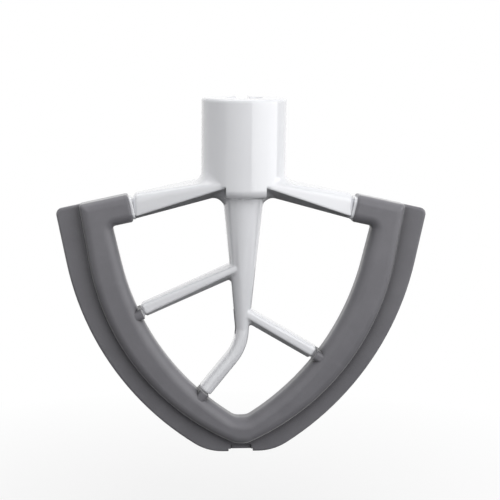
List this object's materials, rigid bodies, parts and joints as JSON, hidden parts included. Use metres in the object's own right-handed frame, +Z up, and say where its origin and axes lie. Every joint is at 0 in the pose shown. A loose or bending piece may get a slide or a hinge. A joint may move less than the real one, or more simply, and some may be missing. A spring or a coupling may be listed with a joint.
{
  "type": "stand mixer flat beater",
  "caption": "Flat beater for a stand mixer: coated die-cast hub, arms, stem and cross bars inside a moulded rubber scraper edge; hangs on the mixer's shaft by a bayonet socket.",
  "frame": {"origin": "on the shaft axis at the mouth of the hub's bore, where the straight wall begins under the lead-in", "axes": "+Z up the shaft, out of the bore's mouth; X across the beater, from one arm to the other; the pictured front faces -Y"},
  "size_m": [0.1406, 0.032, 0.1375],
  "materials": {
    "coating": "gloss",
    "edge_rubber": "matte"
  },
  "bodies": {
    "root": {"beater_body": "coating", "scraper_edge": "edge_rubber"}
  },
  "joints": []
}
